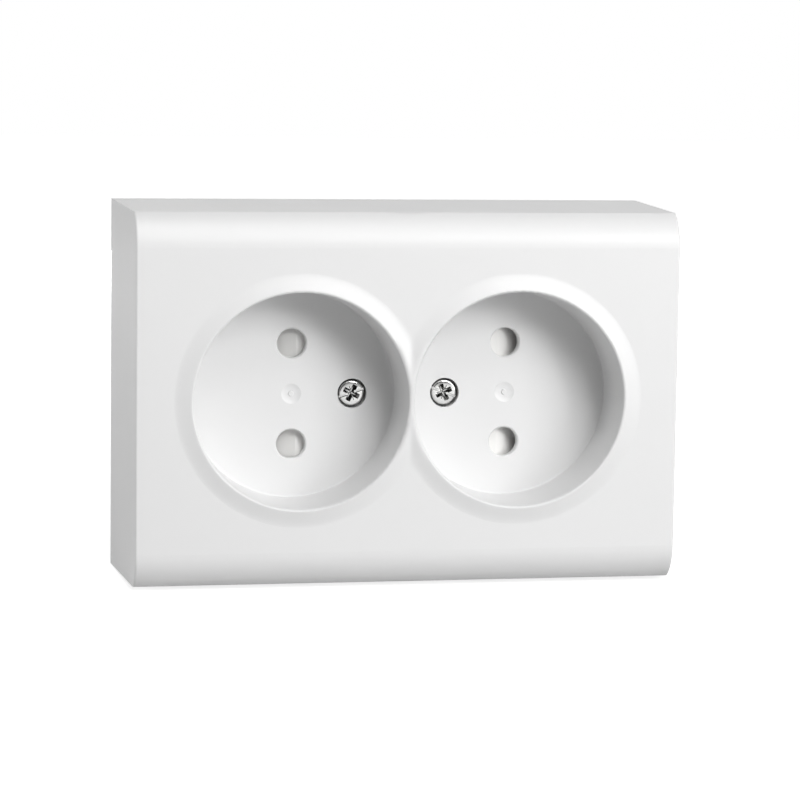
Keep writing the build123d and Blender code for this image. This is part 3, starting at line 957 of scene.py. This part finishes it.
@dataclass(frozen=True)
class Softbox:
    """Square area lamp that faces the socket.

    The azimuth is in degrees from straight in front, positive to the right; the elevation is above the
    horizon. The level is what a white surface that faces the lamp renders as.
    """

    name: str
    azimuth: float
    elevation: float
    level: float
    distance: float = 0.9
    width: float = 0.35
    mirrored: bool = True

    def build(self) -> bpy.types.Object:
        """Place the lamp so that it lights a facing white surface to its level.

        Returns:
            The lamp.
        """
        lamp = bpy.data.lights.new(self.name, "AREA")
        lamp.shape = "SQUARE"
        lamp.size = self.width
        lamp.energy = self.level * (math.pi * self.distance) ** 2
        placed = bpy.data.objects.new(self.name, lamp)
        bpy.context.scene.collection.objects.link(placed)
        across, up = math.radians(self.azimuth), math.radians(self.elevation)
        towards = Vector(
            (math.sin(across) * math.cos(up), -math.cos(across) * math.cos(up), math.sin(up))
        )
        placed.location = towards * self.distance
        placed.rotation_mode = "QUATERNION"
        placed.rotation_quaternion = towards.to_track_quat("Z", "Y")
        placed.visible_glossy = self.mirrored
        LOG.info("built %s", self.name)
        return placed


@dataclass
class Studio:
    """Pale floor, soft lamps, white surroundings and the camera."""

    floor_half_width: float = 3.0
    floor_colour: Colour = (0.54, 0.54, 0.54)
    floor_roughness: float = 0.9
    floor_gloss: float = 0.1
    floor_lift: float = 0.8
    lift_reach: tuple[float, float] = (0.1, 0.5)
    mirrored_floor: float = 0.55
    mirrored_front: float = 0.1
    mirrored_turn: tuple[float, float] = (-0.25, 0.35)
    camera_place: Point = (-0.109386, -0.564047, 0.062707)
    camera_turn: Point = (83.3817, -0.7911, -11.3674)
    camera_lens: float = 132.468
    camera_sensor: float = 36.0
    camera_range: tuple[float, float] = (0.01, 20.0)
    lamps: tuple[Softbox, ...] = (
        Softbox("key_softbox", 20.0, 25.0, 0.4),
        Softbox("right_softbox", 40.0, 10.0, 0.373),
        Softbox("left_softbox", -95.0, 10.0, 0.27),
        Softbox("left_front_softbox", -76.0, 5.0, 0.085, width=0.2),
        Softbox("front_softbox", 0.0, 40.0, 0.115),
        Softbox("upper_softbox", 0.0, 55.0, 0.228),
        Softbox("overhead_softbox", 0.0, 70.0, 0.045),
        Softbox("rear_softbox", 180.0, 8.0, 0.65, mirrored=False),
    )

    @staticmethod
    def _ramp(
        graph: Graph, value: bpy.types.NodeSocket, reach: tuple[float, float], low: float
    ) -> bpy.types.NodeSocket:
        """Rise smoothly from a low level to one.

        Args:
            graph: The nodes.
            value: What the level follows.
            reach: Values at which it starts and ends to rise.
            low: Low level.

        Returns:
            The level.
        """
        node = graph.add(
            "ShaderNodeMapRange",
            {"From Min": reach[0], "From Max": reach[1], "To Min": low, "To Max": 1.0},
            interpolation_type="SMOOTHSTEP",
        )
        graph.join(value, node.inputs["Value"])
        return node.outputs["Result"]

    @staticmethod
    def _shown(graph: Graph, mirrored: bpy.types.NodeSocket | float) -> bpy.types.NodeSocket:
        """Level of a background: in full to the camera and through glass, and a share in mirrors.

        Args:
            graph: The nodes.
            mirrored: Share that mirrors show.

        Returns:
            The level, which is nought to the rays that light the socket.
        """
        path = graph.add("ShaderNodeLightPath")
        share = graph.add("ShaderNodeMath", operation="MULTIPLY")
        graph.join(path.outputs["Is Glossy Ray"], share.inputs[0])
        if isinstance(mirrored, float):
            share.inputs[1].default_value = mirrored
        else:
            graph.join(mirrored, share.inputs[1])
        level = path.outputs["Is Camera Ray"]
        for other in (path.outputs["Is Transmission Ray"], share.outputs[0]):
            higher = graph.add("ShaderNodeMath", operation="MAXIMUM")
            graph.join(level, higher.inputs[0])
            graph.join(other, higher.inputs[1])
            level = higher.outputs[0]
        return level

    def _surroundings(self) -> None:
        """White background, which mirrors see in full behind the socket and dark in front of it."""
        world = bpy.data.worlds.new("studio_surroundings")
        bpy.context.scene.world = world
        world.use_nodes = True
        graph = Graph(world.node_tree)
        light = world.node_tree.nodes["Background"]
        light.inputs["Color"].default_value = (1.0, 1.0, 1.0, 1.0)
        way = graph.add("ShaderNodeTexCoord")
        parts = graph.add("ShaderNodeSeparateXYZ")
        graph.join(way.outputs["Generated"], parts.inputs[0])
        share = self._ramp(graph, parts.outputs["Y"], self.mirrored_turn, self.mirrored_front)
        graph.join(self._shown(graph, share), light.inputs["Strength"])
        LOG.info("built %s", world.name)

    def _floor(self, height: float) -> None:
        """Plain pale floor that keeps the socket's shadow.

        Args:
            height: Height of the floor along Z.
        """
        half = self.floor_half_width
        corners = [(x * half, y * half, height) for x, y in ((-1, -1), (1, -1), (1, 1), (-1, 1))]
        floor = add_mesh("studio_floor", corners, [(0, 1, 2, 3)])
        made = bpy.data.materials.new("studio_floor")
        made.use_nodes = True
        graph = Graph(made.node_tree)
        shader = made.node_tree.nodes["Principled BSDF"]
        shader.inputs["Base Color"].default_value = (*self.floor_colour, 1.0)
        shader.inputs["Roughness"].default_value = self.floor_roughness
        shader.inputs["Specular IOR Level"].default_value = self.floor_gloss
        shader.inputs["Emission Color"].default_value = (1.0, 1.0, 1.0, 1.0)
        place = graph.add("ShaderNodeTexCoord")
        reach = graph.add("ShaderNodeVectorMath", operation="LENGTH")
        graph.join(place.outputs["Object"], reach.inputs[0])
        fade = self._ramp(graph, reach.outputs["Value"], self.lift_reach, self.floor_lift)
        lift = graph.add("ShaderNodeMath", operation="MULTIPLY")
        graph.join(self._shown(graph, self.mirrored_floor), lift.inputs[0])
        graph.join(fade, lift.inputs[1])
        graph.join(lift.outputs[0], shader.inputs["Emission Strength"])
        floor.data.materials.append(made)
        floor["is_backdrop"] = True
        LOG.info("built %s", floor.name)

    def _camera(self) -> None:
        """Camera at the viewing angle of the product shot."""
        seen = bpy.data.cameras.new("product_camera")
        seen.lens = self.camera_lens
        seen.sensor_width = self.camera_sensor
        seen.clip_start, seen.clip_end = self.camera_range
        placed = bpy.data.objects.new("product_camera", seen)
        bpy.context.scene.collection.objects.link(placed)
        placed.location = self.camera_place
        placed.rotation_euler = [math.radians(turn) for turn in self.camera_turn]
        bpy.context.scene.camera = placed
        LOG.info("built %s", placed.name)

    def build(self, floor_height: float) -> None:
        """Build the whole studio.

        Args:
            floor_height: Height of the floor along Z.
        """
        bpy.context.scene.view_settings.view_transform = "Standard"
        self._surroundings()
        self._floor(floor_height)
        for lamp in self.lamps:
            lamp.build()
        self._camera()


def main() -> None:
    """Load the solids, dress them, build the finer pieces and set up the studio."""
    logging.basicConfig(level=logging.INFO, format="%(name)s: %(message)s")
    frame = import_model()
    solid_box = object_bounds()
    nodes = frame["nodes"]
    wardrobe = Wardrobe()
    Mouldings().dress(nodes, wardrobe)
    MetalParts().dress(nodes, wardrobe)
    CoverScrew(Side.LEFT, slot_turn=18.0).build(wardrobe)
    CoverScrew(Side.RIGHT, slot_turn=-21.0).build(wardrobe)
    for side in Side:
        ShutterSpring(side).build(wardrobe)
    Studio().build(solid_box[0].z)


if __name__ == "__main__":
    main()
